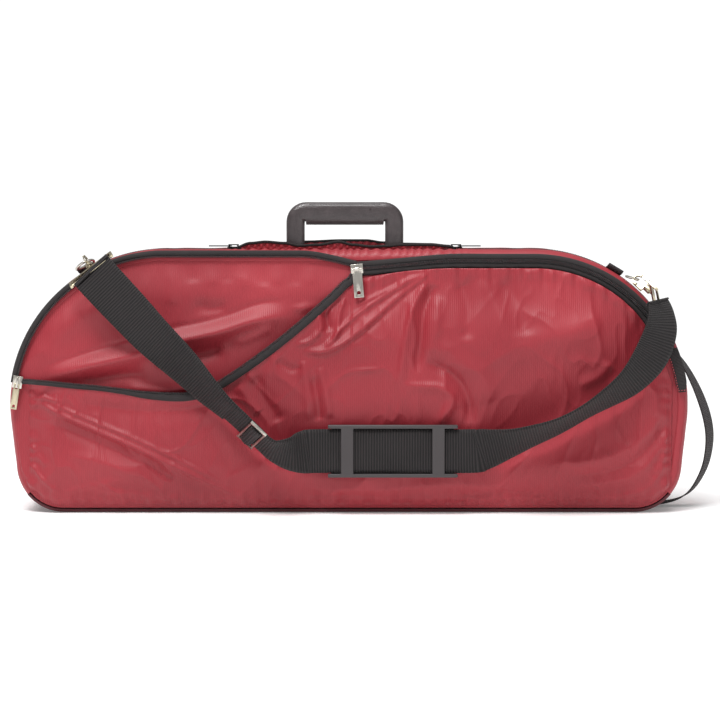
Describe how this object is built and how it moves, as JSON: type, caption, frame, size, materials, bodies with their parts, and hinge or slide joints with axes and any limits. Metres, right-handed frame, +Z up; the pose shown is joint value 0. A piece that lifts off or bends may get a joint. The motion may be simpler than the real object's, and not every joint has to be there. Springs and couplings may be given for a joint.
{
  "type": "soft carry bag",
  "caption": "Half-moon padded nylon carry bag with a front zip pocket, a rigid leather case handle, a detachable shoulder strap and an end loop.",
  "frame": {"origin": "centre of the base's underside, on the ground", "axes": "+X to the right seen from the front, along the bag's length; -Y out of the front pocket; +Z up"},
  "size_m": [0.8151, 0.2258, 0.359],
  "materials": {
    "nylon_red": "ribbed satin nylon",
    "nylon_dark": "ribbed nylon, shaded",
    "webbing": "ribbed polyester webbing",
    "zip_tape": "woven zip tape",
    "zip_coil": "nylon coil",
    "binding": "elastic binding",
    "foam": "closed-cell foam",
    "board": "stiff board",
    "steel": "zinc-plated steel",
    "wood": "plywood",
    "nickel": "polished nickel plate",
    "pale_brass": "pale brass plate",
    "black_metal": "black enamel",
    "leather": "dark brown stitched leather",
    "pad_plastic": "moulded charcoal plastic"
  },
  "bodies": {
    "tray": {"rear_panel": "nylon_red", "rear_gusset": "nylon_red", "base_panel": "nylon_dark", "base_board": "board", "foam_liner": "foam", "rear_stiffener": "foam", "handle_plate": "steel", "handle_packers": "wood", "handle_posts": "steel", "handle_pins": "steel", "handle_rivets": "steel", "slot_lip_rear": "nylon_red", "slot_binding_rear": "binding", "main_zip_tape_rear": "zip_tape", "main_zip_coil_rear": "zip_coil", "end_strap": "webbing"},
    "lid": {"front_wall": "nylon_red", "front_gusset": "nylon_red", "front_stiffener": "foam", "slot_lip_front": "nylon_red", "slot_binding_front": "binding", "main_zip_tape_front": "zip_tape", "main_zip_coil_front": "zip_coil", "pocket_panel": "nylon_red", "pocket_zip_tape_upper": "zip_tape", "pocket_zip_coil_upper": "zip_coil", "pocket_zip_tape_lower": "zip_tape", "pocket_zip_coil_lower": "zip_coil", "pocket_zip_end_tab": "zip_tape", "ring_tabs": "webbing", "webbing_main": "webbing", "webbing_return": "webbing", "strap_eye_left": "nickel", "strap_eye_right": "nickel"},
    "handle": {"handle_leather": "leather", "handle_core": "steel"},
    "pocket_slider_upper": {"pocket_slider_upper": "nickel"},
    "pocket_pull_upper": {"pocket_pull_upper": "nickel"},
    "pocket_slider_left": {"pocket_slider_left": "nickel"},
    "pocket_pull_left": {"pocket_pull_left": "pale_brass"},
    "main_slider_left": {"main_slider_left": "black_metal"},
    "main_pull_left": {"main_pull_left": "black_metal"},
    "main_slider_right": {"main_slider_right": "black_metal"},
    "main_pull_right": {"main_pull_right": "black_metal"},
    "d_ring_left": {"d_ring_left": "nickel"},
    "d_ring_right": {"d_ring_right": "nickel"},
    "hook_left": {"hook_left": "pale_brass"},
    "hook_right": {"hook_right": "pale_brass"},
    "hook_gate_left": {"hook_gate_left": "nickel"},
    "hook_gate_right": {"hook_gate_right": "nickel"},
    "strap_adjuster": {"strap_adjuster": "nickel"},
    "shoulder_pad": {"shoulder_pad": "pad_plastic"}
  },
  "joints": [
    {"name": "lid_hinge", "type": "hinge", "parent": "tray", "child": "lid", "pos_m": [0, -0.075, 0.002], "axis": [1, 0, 0], "range_deg": [0, 50]},
    {"name": "handle_fold", "type": "hinge", "parent": "tray", "child": "handle", "pos_m": [-0.005, -0.03, 0.303], "axis": [1, 0, 0], "range_deg": [-50, 25]},
    {"name": "upper_slider_travel", "type": "slide", "parent": "lid", "child": "pocket_slider_upper", "axis": [0.9964, 0, 0.0846], "range_m": [0, 0.095]},
    {"name": "upper_pull_swing", "type": "hinge", "parent": "pocket_slider_upper", "child": "pocket_pull_upper", "pos_m": [0.009, -0.0847, 0.282], "axis": [-0.9964, 0, -0.0846], "range_deg": [0, 140]},
    {"name": "left_slider_travel", "type": "hinge", "parent": "lid", "child": "pocket_slider_left", "pos_m": [-0.212, -0.0792, 0.124], "axis": [0, 1, 0], "range_deg": [0, 75]},
    {"name": "left_pull_swing", "type": "hinge", "parent": "pocket_slider_left", "child": "pocket_pull_left", "pos_m": [-0.38107, -0.08325, 0.14976], "axis": [-0.9863, 0, 0.165], "range_deg": [0, 115]},
    {"name": "main_left_travel", "type": "slide", "parent": "tray", "child": "main_slider_left", "axis": [-1, 0, 0], "range_m": [0, 0.068]},
    {"name": "main_left_pull_swing", "type": "hinge", "parent": "main_slider_left", "child": "main_pull_left", "pos_m": [-0.1365, -0.045, 0.30795], "axis": [0, 1, 0], "range_deg": [0, 115]},
    {"name": "main_right_travel", "type": "slide", "parent": "tray", "child": "main_slider_right", "axis": [1, 0, 0], "range_m": [0, 0.075]},
    {"name": "main_right_pull_swing", "type": "hinge", "parent": "main_slider_right", "child": "main_pull_right", "pos_m": [0.1265, -0.045, 0.30795], "axis": [0, -1, 0], "range_deg": [0, 115]},
    {"name": "d_ring_left_swing", "type": "hinge", "parent": "lid", "child": "d_ring_left", "pos_m": [-0.304, -0.066, 0.2845], "axis": [0.831, 0.4703, 0.2971], "range_deg": [-5, 5]},
    {"name": "d_ring_right_swing", "type": "hinge", "parent": "lid", "child": "d_ring_right", "pos_m": [0.3202, -0.062, 0.273], "axis": [0.1357, 0.9899, -0.0405], "range_deg": [-6, 6]},
    {"name": "hook_left_swivel", "type": "hinge", "parent": "lid", "child": "hook_left", "pos_m": [-0.30001, -0.07727, 0.29118], "axis": [0.2499, -0.9115, -0.3268], "range_deg": [-5, 5]},
    {"name": "hook_right_swivel", "type": "hinge", "parent": "lid", "child": "hook_right", "pos_m": [0.3336, -0.064, 0.269], "axis": [0.6211, -0.4508, -0.6411], "range_deg": [-6, 6]},
    {"name": "hook_left_gate", "type": "slide", "parent": "hook_left", "child": "hook_gate_left", "axis": [0.2499, -0.9115, -0.3268], "range_m": [0, 0.0065], "stiffness_N_per_m": 120},
    {"name": "hook_right_gate", "type": "slide", "parent": "hook_right", "child": "hook_gate_right", "axis": [0.6211, -0.4508, -0.6411], "range_m": [0, 0.0065], "stiffness_N_per_m": 120},
    {"name": "adjuster_slide", "type": "slide", "parent": "lid", "child": "strap_adjuster", "axis": [0.7328, 0, -0.6805], "range_m": [-0.006, 0.006]},
    {"name": "shoulder_pad_slide", "type": "slide", "parent": "lid", "child": "shoulder_pad", "axis": [1, 0, 0], "range_m": [-0.008, 0.008]}
  ]
}
